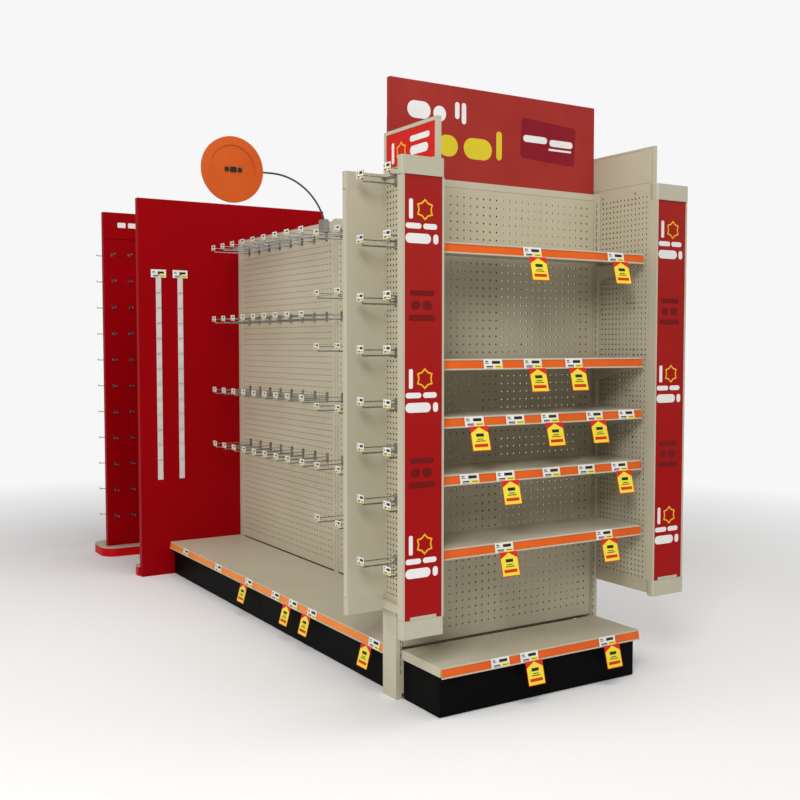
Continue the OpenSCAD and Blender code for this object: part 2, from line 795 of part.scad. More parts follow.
wing_caps(-1);  // wing_left_caps
wing_graphic(-1);  // wing_left_graphic
wing_sign(-1);  // wing_left_sign
wing_hooks(-1);  // wing_left_hooks
wing_frame(1);  // wing_right_frame
wing_panel(1);  // wing_right_panel
wing_caps(1);  // wing_right_caps
wing_graphic(1);  // wing_right_graphic
wing_sign(1);  // wing_right_sign
wing_hooks(1);  // wing_right_hooks
header_sign();
header_prongs();
end_panel();
card_wall();
card_hooks();
plinth();
clip_strip(1);  // clip_strip_1
clip_strip(2);  // clip_strip_2
sign_bracket();
sign_arm();
sign_disc();
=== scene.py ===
import bpy
import math
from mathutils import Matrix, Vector


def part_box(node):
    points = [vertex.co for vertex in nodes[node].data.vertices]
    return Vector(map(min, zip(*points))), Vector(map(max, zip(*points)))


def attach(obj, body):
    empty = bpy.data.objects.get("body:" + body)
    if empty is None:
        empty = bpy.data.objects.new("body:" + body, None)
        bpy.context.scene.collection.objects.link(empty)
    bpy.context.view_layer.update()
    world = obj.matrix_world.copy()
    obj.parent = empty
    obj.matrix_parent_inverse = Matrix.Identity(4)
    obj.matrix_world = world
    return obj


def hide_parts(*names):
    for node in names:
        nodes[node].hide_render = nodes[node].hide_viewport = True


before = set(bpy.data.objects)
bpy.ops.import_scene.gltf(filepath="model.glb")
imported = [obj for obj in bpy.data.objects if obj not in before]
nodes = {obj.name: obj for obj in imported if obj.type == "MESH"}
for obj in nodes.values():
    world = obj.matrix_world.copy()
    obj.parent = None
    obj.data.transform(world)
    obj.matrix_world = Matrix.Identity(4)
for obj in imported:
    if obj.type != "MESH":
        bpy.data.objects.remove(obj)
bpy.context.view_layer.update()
print("frame loaded:", len(nodes), "nodes")


def rgb(r, g, b):
    # display colour 0-255 to the linear colour a shader wants
    def linear(v):
        v /= 255
        return v / 12.92 if v <= 0.04045 else ((v + 0.055) / 1.055) ** 2.4
    return (linear(r), linear(g), linear(b), 1.0)


view = dict(place=(-2.402, -3.136, 1.280), tilt=86.99, turn=-31.71, lens=46.54)

camData = bpy.data.cameras.new("shopCamera")
camData.lens = view["lens"]
camData.sensor_width = 36
camData.clip_end = 60
camera = bpy.data.objects.new("shopCamera", camData)
camera.location = view["place"]
camera.rotation_euler = (math.radians(view["tilt"]), 0, math.radians(view["turn"]))
bpy.context.scene.collection.objects.link(camera)
bpy.context.scene.camera = camera


def startMaterial(name):
    mat = bpy.data.materials.new(name)
    mat.use_nodes = True
    tree = mat.node_tree
    shader = tree.nodes["Principled BSDF"]
    coords = tree.nodes.new("ShaderNodeTexCoord")
    return mat, tree, shader, coords


def addNoise(tree, coords, scale, detail=3.0, stretch=None):
    noise = tree.nodes.new("ShaderNodeTexNoise")
    noise.inputs["Scale"].default_value = scale
    noise.inputs["Detail"].default_value = detail
    source = coords.outputs["Object"]
    if stretch:
        mapping = tree.nodes.new("ShaderNodeMapping")
        mapping.inputs["Scale"].default_value = stretch
        tree.links.new(source, mapping.inputs["Vector"])
        source = mapping.outputs["Vector"]
    tree.links.new(source, noise.inputs["Vector"])
    return noise


def addRange(tree, value, low, high, toLow, toHigh):
    node = tree.nodes.new("ShaderNodeMapRange")
    node.inputs["From Min"].default_value = low
    node.inputs["From Max"].default_value = high
    node.inputs["To Min"].default_value = toLow
    node.inputs["To Max"].default_value = toHigh
    tree.links.new(value, node.inputs["Value"])
    return node.outputs["Result"]


def addMix(tree, share, first, second):
    mix = tree.nodes.new("ShaderNodeMix")
    mix.data_type = "RGBA"
    tree.links.new(share, mix.inputs["Factor"])
    for socket, value in (("A", first), ("B", second)):
        target = [s for s in mix.inputs if s.name == socket and s.type == "RGBA"][0]
        if isinstance(value, tuple):
            target.default_value = value
        else:
            tree.links.new(value, target)
    return [s for s in mix.outputs if s.type == "RGBA"][0]


def addHeight(tree, coords, low, high):
    # 0 below low and 1 above high, by height above the floor
    split = tree.nodes.new("ShaderNodeSeparateXYZ")
    tree.links.new(coords.outputs["Object"], split.inputs["Vector"])
    return addRange(tree, split.outputs["Z"], low, high, 0, 1)


def finish(name, colour, tone, rough, spread=0.08, grain=900, bump=0.05, metal=0.0,
           stretch=None, cloud=5, coat=0.0, wear=None, low=None, gloss=0.25):
    mat, tree, shader, coords = startMaterial(name)
    broad = addNoise(tree, coords, cloud, 4)
    fine = addNoise(tree, coords, grain, 2, stretch)
    share = addRange(tree, broad.outputs["Fac"], 0.35, 0.68, 0, 1)
    mixed = addMix(tree, share, colour, tone)
    if low:      # a second colour under a given height
        height = addHeight(tree, coords, low["at"], low["at"] + low["over"])
        mixed = addMix(tree, height, low["colour"], mixed)
    if wear:     # rubbed marks, thinning out with height
        marks = addNoise(tree, coords, 38, 6, (1, 1, 3.2))
        cut = addRange(tree, marks.outputs["Fac"], 0.60, 0.72, 0, wear["amount"])
        fade = addHeight(tree, coords, 0.0, wear["upTo"])
        keep = tree.nodes.new("ShaderNodeMath")
        keep.operation = "SUBTRACT"
        keep.use_clamp = True
        tree.links.new(cut, keep.inputs[0])
        tree.links.new(fade, keep.inputs[1])
        mixed = addMix(tree, keep.outputs[0], mixed, wear["colour"])
    tree.links.new(mixed, shader.inputs["Base Color"])
    tree.links.new(addRange(tree, fine.outputs["Fac"], 0.3, 0.7, rough - spread, rough + spread),
                   shader.inputs["Roughness"])
    bumps = tree.nodes.new("ShaderNodeBump")
    bumps.inputs["Strength"].default_value = bump
    bumps.inputs["Distance"].default_value = 0.001
    tree.links.new(fine.outputs["Fac"], bumps.inputs["Height"])
    tree.links.new(bumps.outputs["Normal"], shader.inputs["Normal"])
    shader.inputs["Metallic"].default_value = metal
    shader.inputs["Specular IOR Level"].default_value = gloss
    shader.inputs["Coat Weight"].default_value = coat
    return mat


puttyPaint = finish("puttyPaint", rgb(191, 184, 162), rgb(185, 177, 154), 0.46, grain=1400, bump=0.10,
                    cloud=2.2, wear=dict(amount=0.35, upTo=0.30, colour=rgb(128, 121, 106)))
capPlastic = finish("capPlastic", rgb(186, 182, 161), rgb(180, 175, 153), 0.52, grain=2200, bump=0.16,
                    cloud=2.2)
pegBoard = finish("pegBoard", rgb(189, 181, 157), rgb(183, 174, 150), 0.50, grain=1100, bump=0.08,
                  cloud=2.2, gloss=0.2)
# raw brown hardboard of the hole walls, made darker as painted shade inside the holes
rawBoardAndHoleShade = finish("rawBoardAndHoleShade", rgb(46, 38, 28), rgb(34, 28, 21), 0.85, grain=1600, bump=0.2, gloss=0.05)
ticketOrange = finish("ticketOrange", rgb(226, 98, 26), rgb(216, 88, 21), 0.36, grain=300, bump=0.03,
                      stretch=(1, 1, 8))
runTicketOrange = finish("runTicketOrange", rgb(240, 138, 54), rgb(232, 126, 44), 0.36, grain=300, bump=0.03,
                         stretch=(1, 1, 8))
kickBlack = finish("kickBlack", rgb(6, 6, 6), rgb(9, 9, 9), 0.55, grain=1200, bump=0.12, gloss=0.04,
                   wear=dict(amount=0.16, upTo=0.14, colour=rgb(38, 36, 34)))
zincWire = finish("zincWire", rgb(170, 172, 174), rgb(140, 143, 147), 0.30, grain=500, bump=0.06, metal=1.0,
                  stretch=(1, 1, 0.2), cloud=24)
labelWhite = finish("labelWhite", rgb(232, 231, 225), rgb(223, 221, 213), 0.30, grain=700, bump=0.02)
labelYellow = finish("labelYellow", rgb(238, 222, 62), rgb(232, 211, 48), 0.36, grain=800, bump=0.02)
labelInk = finish("labelInk", rgb(40, 38, 38), rgb(56, 53, 52), 0.50, grain=900, bump=0.02, gloss=0.1)
tagRed = finish("tagRed", rgb(222, 46, 28), rgb(210, 36, 22), 0.40, grain=800, bump=0.02, gloss=0.15)
clipPlastic = finish("clipPlastic", rgb(214, 208, 206), rgb(200, 193, 191), 0.36, grain=600, bump=0.04)
graphicRed = finish("graphicRed", rgb(160, 40, 34), rgb(155, 33, 29), 0.42, grain=900, bump=0.03, cloud=1.6,
                    gloss=0.10, low=dict(at=0.8, over=1.0, colour=rgb(158, 12, 13)))
signRed = finish("signRed", rgb(206, 34, 24), rgb(198, 27, 19), 0.42, grain=900, bump=0.03, gloss=0.1)
# painted shade for the gap where parts meet, drawn as a thin dark line
jointShade = finish("jointShade", rgb(132, 126, 108), rgb(120, 114, 97), 0.6, grain=900, bump=0.03, gloss=0.1)
headerRed = finish("headerRed", rgb(160, 50, 43), rgb(153, 43, 38), 0.48, grain=900, bump=0.03, gloss=0.12)
headerDeep = finish("headerDeep", rgb(137, 27, 41), rgb(127, 22, 36), 0.40, grain=420, bump=0.10, gloss=0.12)
printWhite = finish("printWhite", rgb(234, 233, 230), rgb(223, 221, 217), 0.40, grain=900, bump=0.02)
printYellow = finish("printYellow", rgb(216, 198, 44), rgb(207, 186, 36), 0.40, grain=900, bump=0.02)
starYellow = finish("starYellow", rgb(240, 186, 30), rgb(232, 172, 24), 0.40, grain=900, bump=0.02)
printFaded = finish("printFaded", rgb(116, 26, 24), rgb(106, 20, 19), 0.44, grain=900, bump=0.02, gloss=0.1)
laminateRed = finish("laminateRed", rgb(150, 0, 9), rgb(144, 0, 7), 0.42, grain=700, bump=0.05, cloud=1.4,
                     gloss=0.06, wear=dict(amount=0.2, upTo=0.10, colour=rgb(98, 6, 9)))
plinthRed = finish("plinthRed", rgb(191, 184, 162), rgb(184, 176, 154), 0.44, grain=700, bump=0.05,
                   gloss=0.08, low=dict(at=0.0499, over=0.0002, colour=rgb(190, 10, 16)))
bracketGrey = finish("bracketGrey", rgb(164, 164, 160), rgb(150, 150, 147), 0.38, grain=900, bump=0.06,
                     metal=0.6)
armDark = finish("armDark", rgb(84, 88, 88), rgb(70, 74, 75), 0.35, grain=900, bump=0.04, metal=0.4)
discOrange = finish("discOrange", rgb(206, 92, 33), rgb(198, 84, 28), 0.34, grain=800, bump=0.03, gloss=0.2)

nodeFinishes = {"kick_plates": kickBlack, "run_label_plates": labelWhite, "header_sign": headerRed,
                "sign_bracket": bracketGrey, "sign_arm": armDark, "sign_disc": discOrange,
                "plinth": plinthRed, "end_panel": laminateRed, "card_wall": laminateRed,
                "clip_strip_1": clipPlastic, "clip_strip_2": clipPlastic, "header_prongs": zincWire,
                "levelling_feet": zincWire}


def finishFor(name):
    if name in nodeFinishes:
        return nodeFinishes[name]
    if name.endswith("ticket_strip"):
        return runTicketOrange if name.startswith("deck_") else ticketOrange
    if name.endswith("hooks"):
        return zincWire
    if name.endswith("graphic"):
        return graphicRed
    if name.endswith("caps") and name.startswith("wing"):
        return capPlastic
    return puttyPaint


for name, node in nodes.items():
    if not node.material_slots:
        node.data.materials.append(None)
    for place in node.material_slots:
        place.material = finishFor(name)

softEdges = dict(width=0.0012, capWidth=0.0019,
                 nodes=["header_sign", "end_panel", "card_wall", "wing_left_sign", "wing_right_sign",
                        "wing_left_caps", "wing_right_caps", "plinth"])
for name in softEdges["nodes"]:
    bevel = nodes[name].modifiers.new("softEdge", "BEVEL")
    bevel.width = softEdges["capWidth"] if name.endswith("caps") else softEdges["width"]
    bevel.segments = 2
    bevel.limit_method = "ANGLE"
    bevel.angle_limit = math.radians(50)
    bevel.harden_normals = True
print("finishes on the frame")


class Sheet:
    # gathers flat shapes, each on its own face frame, into one mesh
    def __init__(self):
        self.verts, self.faces, self.kinds = [], [], []

    def extrude(self, outline, origin, u, v, n, lift, thick, kind):
        # a closed outline in (u, v) metres, lifted off the face and given a thickness
        origin, u, v, n = Vector(origin), Vector(u), Vector(v), Vector(n)
        start, count = len(self.verts), len(outline)
        for depth in (lift, lift + thick):
            for a, b in outline:
                self.verts.append(tuple(origin + u * a + v * b + n * depth))
        self.faces.append([start + i for i in reversed(range(count))])
        self.faces.append([start + count + i for i in range(count)])
        for i in range(count):
            j = (i + 1) % count
            self.faces.append([start + i, start + j, start + count + j, start + count + i])
        self.kinds += [kind] * (count + 2)

    def ring(self, outer, inner, origin, u, v, n, lift, thick, kind):
        origin, u, v, n = Vector(origin), Vector(u), Vector(v), Vector(n)
        start, count = len(self.verts), len(outer)
        for depth in (lift, lift + thick):
            for outline in (outer, inner):
                for a, b in outline:
                    self.verts.append(tuple(origin + u * a + v * b + n * depth))
        for i in range(count):
            j = (i + 1) % count
            o0, o1, i0, i1 = start + i, start + j, start + count + i, start + count + j
            up = 2 * count
            self.faces += [[o0 + up, o1 + up, i1 + up, i0 + up], [o1, o0, i0, i1],
                           [o0, o1, o1 + up, o0 + up], [i1, i0, i0 + up, i1 + up]]
            self.kinds += [kind] * 4

    def make(self, name, body, finishes):
        mesh = bpy.data.meshes.new(name)
        mesh.from_pydata(self.verts, [], self.faces)
        for mat in finishes:
            mesh.materials.append(mat)
        mesh.polygons.foreach_set("material_index", self.kinds)
        mesh.update()
        piece = bpy.data.objects.new(name, mesh)
        bpy.context.scene.collection.objects.link(piece)
        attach(piece, body)
        return piece


def roundedBar(cu, cv, width, height, radius=None, steps=5):
    radius = min(radius if radius is not None else height / 2, width / 2, height / 2) - 1e-6
    points = []
    for k, (su, sv) in enumerate([(1, 1), (-1, 1), (-1, -1), (1, -1)]):
        mu, mv = cu + su * (width / 2 - radius), cv + sv * (height / 2 - radius)
        for i in range(steps + 1):
            a = math.radians(90 * k + 90 * i / steps)
            points.append((mu + radius * math.cos(a), mv + radius * math.sin(a)))
    return points


def starOutline(cu, cv, size, dip, points=6, phase=90):
    out = []
    for i in range(points * 2):
        r = size if i % 2 == 0 else size * dip
        a = math.radians(phase + 180 * i / points)
        out.append((cu + r * math.cos(a), cv + r * math.sin(a)))
    return out


peg = dict(runPitch=0.030, wingPitch=0.020, row=0.205, radius=0.0036, edge=0.006, thick=0.005)


def perforatedPanel(name, body, stood, x, out, y0, y1, z0, z1, bothFaces, alongX=False):
    # a sheet in the Y-Z plane at x, facing the sign of out, with a real hole in every cell
    r, t = peg["radius"], peg["thick"]
    pitch = peg["wingPitch"] if body.startswith("wing") else peg["runPitch"]
    cols = int((y1 - y0 - 2 * peg["edge"]) / pitch)
    left = (y0 + y1) / 2 - cols * pitch / 2
    # rows of holes stand at the heights of the hooks' prongs
    first = peg["row"] - pitch / 2
    base = first + math.ceil((z0 + peg["edge"] - first) / pitch) * pitch
    rowCount = int((z1 - peg["edge"] - base) / pitch)
    angles = [math.radians(22.5 + 45 * i) for i in range(8)]
    ring = [(math.cos(angle) * r, math.sin(angle) * r) for angle in angles]
    half = pitch / 2
    template = [(half, half), (-half, half), (-half, -half), (half, -half)] + ring
    # ring points 0,1 sit round the first corner, 2,3 round the next, and so on
    cell = []
    for k in range(4):
        near, far = 4 + 2 * k, 5 + 2 * k
        cell.append((k, near, far))
        cell.append((k, far, 4 + (2 * k + 2) % 8, (k + 1) % 4))
    verts, faces, kinds = [], [], []

    def put(depth, yy, zz):
        if alongX:
            return (yy, x + out * depth, zz)
        return (x + out * depth, yy, zz)

    for c in range(cols):
        for q in range(rowCount):
            cy, cz = left + (c + 0.5) * pitch, base + (q + 0.5) * pitch
            start = len(verts)
            verts += [put(0, cy + a, cz + b) for a, b in template]
            verts += [put(-t, cy + a, cz + b) for a, b in template]
            for f in cell:
                faces.append([start + i for i in f])
                if bothFaces:
                    faces.append([start + 12 + i for i in reversed(f)])
            kinds += [0] * (len(faces) - len(kinds))
            for i in range(8):
                j = (i + 1) % 8
                faces.append([start + 4 + j, start + 4 + i, start + 16 + i, start + 16 + j])
            kinds += [1] * 8
    right, top = left + cols * pitch, base + rowCount * pitch
    rims = ((y0, left, z0, z1), (right, y1, z0, z1), (left, right, z0, base), (left, right, top, z1))
    for a0, a1, b0, b1 in rims:
        start = len(verts)
        for depth in (0, -t):
            verts += [put(depth, a, b) for a, b in ((a0, b0), (a1, b0), (a1, b1), (a0, b1))]
        faces += [[start, start + 1, start + 2, start + 3], [start + 7, start + 6, start + 5, start + 4]]
        for i in range(4):
            j = (i + 1) % 4
            faces.append([start + i, start + j, start + 4 + j, start + 4 + i])
    mesh = bpy.data.meshes.new(name)
    kinds += [0] * (len(faces) - len(kinds))
    mesh.from_pydata(verts, [], faces)
    mesh.materials.append(pegBoard)
    mesh.materials.append(rawBoardAndHoleShade)      # inside the holes: raw hardboard, darkened further as painted shade
    mesh.polygons.foreach_set("material_index", kinds)
    mesh.update()
    piece = bpy.data.objects.new(name, mesh)
    bpy.context.scene.collection.objects.link(piece)
    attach(piece, body)
    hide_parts(stood)
    return piece


def boxOf(points):
    return tuple(Vector([pick(p[k] for p in points) for k in range(3)]) for pick in (min, max))


def islands(name):
    # boxes of the separate solids of a node
    mesh = nodes[name].data
    parent = list(range(len(mesh.vertices)))
    spots = {}
    for i, vertex in enumerate(mesh.vertices):
        key = tuple(round(c, 5) for c in vertex.co)
        parent[i] = spots.setdefault(key, i)

    def root(i):
        while parent[i] != i:
            parent[i] = parent[parent[i]]
            i = parent[i]
        return i

    for edge in mesh.edges:
        a, b = root(edge.vertices[0]), root(edge.vertices[1])
        if a != b:
            parent[a] = b
    groups = {}
    for i, vertex in enumerate(mesh.vertices):
        groups.setdefault(root(i), []).append(vertex.co)
    return [boxOf(group) for group in groups.values()]


for i, (low, high) in enumerate(sorted(islands("run_back_panels"), key=lambda b: (b[0].x, b[0].y))):
    side = -1 if low.x < 0 else 1
    face = low.x if side < 0 else high.x
    perforatedPanel("runPegPanel%d" % (i + 1), "frame", "run_back_panels", face, side,
                    low.y, high.y, low.z, high.z, False)
low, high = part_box("endcap_back_panel")
perforatedPanel("endcapPegPanel", "frame", "endcap_back_panel", low.y, -1, low.x, high.x, low.z, high.z,
                False, True)
for side, word in ((-1, "left"), (1, "right")):
    low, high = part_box("wing_%s_panel" % word)
    perforatedPanel("wingPegPanel_" + word, "wing_" + word, "wing_%s_panel" % word,
                    low.x if side < 0 else high.x, side, low.y, high.y, low.z, high.z, True)
print("perforated panels drilled")


rail = dict(lean=10.0, height=0.038, lip=0.0042, labelW=0.080, labelH=0.034,
            tagW=0.077, tagH=0.086, tagLean=15.0)
shelfLabels = {"shelf_5": [-0.080, 0.316], "shelf_4": [-0.250, -0.075, 0.116],
               "shelf_3": [-0.329, -0.152, 0.005, 0.218, 0.379],
               "shelf_2": [-0.348, -0.194, 0.014, 0.181, 0.346],
               "shelf_1": [-0.198, 0.273], "endcap_deck": [-0.212, -0.082, 0.293]}
shelfTags = {"shelf_5": [-0.059, 0.336], "shelf_4": [-0.057, 0.130], "shelf_3": [-0.313, 0.022, 0.233],
             "shelf_2": [-0.176, 0.364], "shelf_1": [-0.183, 0.293], "endcap_deck": [-0.064, 0.313]}
runLabels = [2.185, 1.718, 1.338, 1.038, 0.860, 0.680, 0.166]
runTags = [1.385, 0.915, 0.727, 0.219]


def priceLabel(sheet, origin, u, v, n, at, width, height):
    sheet.extrude(roundedBar(at, -height / 2 - 0.002, width, height, 0.002), origin, u, v, n, 0, 0.0004, 0)
    sheet.extrude(roundedBar(at + width * 0.26, -height * 0.80 - 0.002, width * 0.44, height * 0.32, 0.001),
                  origin, u, v, n, 0.0004, 0.0002, 1)
    for cu, cv, w, h in ((-0.34, 0.24, 0.16, 0.10), (-0.32, 0.42, 0.20, 0.07), (0.16, 0.34, 0.44, 0.30),
                         (-0.20, 0.76, 0.36, 0.12), (-0.20, 0.91, 0.36, 0.05), (0.27, 0.80, 0.30, 0.07)):
        sheet.extrude(roundedBar(at + cu * width, -cv * height - 0.002, w * width, h * height, 0.0008),
                      origin, u, v, n, 0.0006, 0.0002, 2)


def hangTag(sheet, origin, u, v, n, at, width, height):
    top = 0.003
    sheet.extrude(roundedBar(at, top - height / 2, width, height, 0.002), origin, u, v, n, 0, 0.0004, 3)
    house = [(-0.47, -0.27), (0, -0.04), (0.47, -0.27), (0.47, -0.97), (-0.47, -0.97)]
    yellow = [(at + a * width, top + b * height) for a, b in reversed(house)]
    sheet.extrude(yellow, origin, u, v, n, 0.0004, 0.0002, 1)
    for cv, w, h, kind in ((0.36, 0.42, 0.13, 2), (0.52, 0.34, 0.035, 2), (0.60, 0.52, 0.035, 2),
                           (0.78, 0.74, 0.13, 3)):
        mark = roundedBar(at, top - cv * height, w * width, h * height, 0.001)
        sheet.extrude(mark, origin, u, v, n, 0.0006, 0.0002, kind)


def dressRail(name, body, pan, side, labels, tags):
    # side 0 faces the front, -1 and 1 the two sides of the run
    low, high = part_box(pan)
    lean = math.radians(rail["lean"])
    s, c = math.sin(lean), math.cos(lean)
    foot = rail["lip"] * c + rail["height"] * s      # lower lip beyond the top edge
    lift = rail["lip"] + 0.0002
    if side == 0:
        edge = low.y + foot
        origin = (0, edge - lift * c, high.z + lift * s)
        u, v, n = (1, 0, 0), (0, s, c), (0, -c, s)
        hang = (0, low.y - 0.0006, high.z - rail["height"])
        out = (0, -1, 0)
    else:
        edge = (high.x if side > 0 else -low.x) - foot
        origin = (side * (edge + lift * c), 0, high.z + lift * s)
        u, v, n = (0, side, 0), (-side * s, 0, c), (side * c, 0, s)
        hang = (side * (edge + foot + 0.0006), 0, high.z - rail["height"])
        out = (side, 0, 0)
    sway = math.radians(rail["tagLean"])
    out, rise = Vector(out), Vector((0, 0, 1))
    down = rise * math.cos(sway) - out * math.sin(sway)
    face = out * math.cos(sway) + rise * math.sin(sway)
    sheet = Sheet()
    for at in labels:
        priceLabel(sheet, origin, u, v, n, at if side == 0 else side * at, rail["labelW"], rail["labelH"])
    for at in tags:
        hangTag(sheet, hang, u, down, face, at if side == 0 else side * at, rail["tagW"], rail["tagH"])
    return sheet.make(name, body, [labelWhite, labelYellow, labelInk, tagRed])


for body, places in shelfLabels.items():
    pan = "endcap_deck" if body == "endcap_deck" else body + "_pan"
    dressRail("railLabels_" + body, body, pan, 0, places, shelfTags[body])
for word, side in (("left", -1), ("right", 1)):
    for k in (1, 2):
        deck = "deck_%s_%d" % (word, k)
        low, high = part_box(deck)
        inside = lambda y: low.y + 0.06 < y < high.y - 0.06
        dressRail("railLabels_" + deck, deck, deck, side, [y for y in runLabels if inside(y)],
                  [y for y in runTags if inside(y)])
print("rails dressed")


def printPlates(name, body, boxes):
    sheet = Sheet()
    for low, high in boxes:
        side = 1 if low.x > 0 else -1
        x = high.x if side > 0 else low.x
        width, height = high.y - low.y, high.z - low.z
        if width < 0.02 or height < 0.015:
            continue
        origin = (x, (low.y + high.y) / 2, high.z + 0.002)
        priceLabel(sheet, origin, (0, side, 0), (0, 0, 1), (side, 0, 0), 0, width, height)
    return sheet.make(name, body, [labelWhite, labelYellow, labelInk])


printPlates("runPlatePrints", "frame", islands("run_label_plates"))
for word in ("left", "right"):
    found = islands("wing_%s_hooks" % word)
    boxes = []
    for lo, hi in found:
        outer = [v.co for v in nodes["wing_%s_hooks" % word].data.vertices
                 if lo.y - 1e-4 <= v.co.y <= hi.y + 1e-4 and lo.z - 1e-4 <= v.co.z <= hi.z + 1e-4]
        flat = [c for c in outer if abs(c.y - lo.y) < 1e-4 or abs(c.y - hi.y) < 1e-4]
        if not flat:
            continue
        boxes.append(boxOf(flat))
    printPlates("wingPlatePrints_" + word, "wing_" + word, boxes)
print("label plates printed")


motif = dict(bright=[1.720, 1.172, 0.627], faded=[1.410, 0.864], star=0.035, line=0.007)


def stripPrints(word, side):
    low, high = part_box("wing_%s_graphic" % word)
    middle = (low.x + high.x) / 2
    origin, u, v, n = (middle, low.y, 0), (1, 0, 0), (0, 0, 1), (0, -1, 0)
    sheet = Sheet()
    size, line = motif["star"], motif["line"]
    for z in motif["bright"]:
        sheet.extrude(roundedBar(-0.048, z, 0.015, 0.064, 0.005), origin, u, v, n, 0, 0.0003, 0)
        sheet.ring(starOutline(0.006, z, size, 0.74), starOutline(0.006, z, size - line, 0.74),
                   origin, u, v, n, 0, 0.0003, 1)
        for dx, dz, w, h in ((-0.038, -0.054, 0.060, 0.018), (0.026, -0.054, 0.054, 0.018),
                             (-0.020, -0.094, 0.098, 0.032), (0.048, -0.094, 0.020, 0.032)):
            sheet.extrude(roundedBar(dx, z + dz, w, h), origin, u, v, n, 0, 0.0003, 0)
    for z in motif["faded"]:
        for dx, dz, w, h in ((-0.005, 0.040, 0.096, 0.018), (-0.030, 0.0, 0.036, 0.030),
                             (0.016, 0.0, 0.040, 0.030), (-0.005, -0.040, 0.104, 0.020)):
            sheet.extrude(roundedBar(dx, z + dz, w, h), origin, u, v, n, 0, 0.0003, 2)
    sheet.make("stripPrints_" + word, "wing_" + word, [printWhite, starYellow, printFaded])


fingerTab = dict(share=0.66, height=0.011, thick=0.0016)


def bottomTab(word):
    # the graphic's lower edge is held by a tab that stands up from the cap
    low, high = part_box("wing_%s_graphic" % word)
    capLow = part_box("wing_%s_caps" % word)[0]
    sheet = Sheet()
    width = (high.x - low.x) * fingerTab["share"]
    origin = ((low.x + high.x) / 2, low.y, low.z)
    h = fingerTab["height"]
    outline = [(-width / 2, 0), (width / 2, 0), (width / 2 - 0.001, h), (-width / 2 + 0.001, h)]
    thick = min(fingerTab["thick"], low.y - capLow.y - 0.0003)
    sheet.extrude(outline, origin, (1, 0, 0), (0, 0, 1), (0, -1, 0), 0.0002, thick, 0)
    sheet.make("graphicTab_" + word, "wing_" + word, [capPlastic])


for side, word in ((-1, "left"), (1, "right")):
    stripPrints(word, side)
    bottomTab(word)

# red insert of the left wing's small sign, in its recess on the outer face
low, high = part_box("wing_left_sign")
insert = Sheet()
origin = (low.x + 0.003, (low.y + high.y) / 2, (low.z + high.z) / 2)
u, v, n = (0, -1, 0), (0, 0, 1), (-1, 0, 0)
wide, tall = high.y - low.y - 0.030, high.z - low.z - 0.026
insert.extrude(roundedBar(0, 0, wide, tall, 0.002), origin, u, v, n, 0, 0.0008, 0)
insert.extrude(roundedBar(-0.112, -0.010, 0.016, 0.072, 0.005), origin, u, v, n, 0.0008, 0.0003, 1)
insert.ring(starOutline(-0.058, -0.010, 0.035, 0.74), starOutline(-0.058, -0.010, 0.028, 0.74),
            origin, u, v, n, 0.0008, 0.0003, 2)
insert.extrude(roundedBar(0.060, 0.022, 0.122, 0.020), origin, u, v, n, 0.0008, 0.0003, 1)
insert.extrude(roundedBar(0.056, -0.018, 0.112, 0.030), origin, u, v, n, 0.0008, 0.0003, 1)
insert.make("wingSignInsert_left", "wing_left", [signRed, printWhite, starYellow])

signClip = dict(width=0.016, drop=0.018, inset=0.026, line=0.0012, margin=0.007)


def signTrim(word, side):
    # thin line of painted shade round the backing sheet where it meets the cap, and the two clips that hold
    # its top edge
    low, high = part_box("wing_%s_sign" % word)
    x = low.x if side > 0 else high.x
    middle = ((low.y + high.y) / 2, (low.z + high.z) / 2)
    origin, u, v, n = (x, middle[0], middle[1]), (0, -side, 0), (0, 0, 1), (-side, 0, 0)
    wide, tall = high.y - low.y - 2 * signClip["margin"], high.z - low.z - 2 * signClip["margin"]
    thin = 2 * signClip["line"]
    sheet = Sheet()
    sheet.ring(roundedBar(0, 0, wide, tall, 0.004), roundedBar(0, 0, wide - thin, tall - thin, 0.003),
               origin, u, v, n, 0, 0.0002, 1)
    for end in (-1, 1):
        clip = roundedBar(end * (wide / 2 - signClip["inset"]), tall / 2 - signClip["drop"] / 2 + 0.002,
                          signClip["width"], signClip["drop"], 0.005)
        sheet.extrude(clip, origin, u, v, n, 0.0002, 0.0012, 0)
    sheet.make("signTrim_" + word, "wing_" + word, [capPlastic, jointShade])


for side, word in ((-1, "left"), (1, "right")):
    signTrim(word, side)

low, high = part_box("sign_disc")
mark = Sheet()
middle = ((low.x + high.x) / 2, (low.z + high.z) / 2)
face = min(c.co.y for c in nodes["sign_disc"].data.vertices if abs(c.co.x - middle[0]) < 0.125)
for dx, w, h in ((-0.030, 0.022, 0.020), (0.002, 0.032, 0.024), (0.034, 0.022, 0.020)):
    mark.extrude(roundedBar(dx, 0, w, h, 0.006), (middle[0], face, middle[1]),
                 (1, 0, 0), (0, 0, 1), (0, -1, 0), 0, 0.0003, 0)
mark.make("discPrint", "sign_disc", [labelInk])

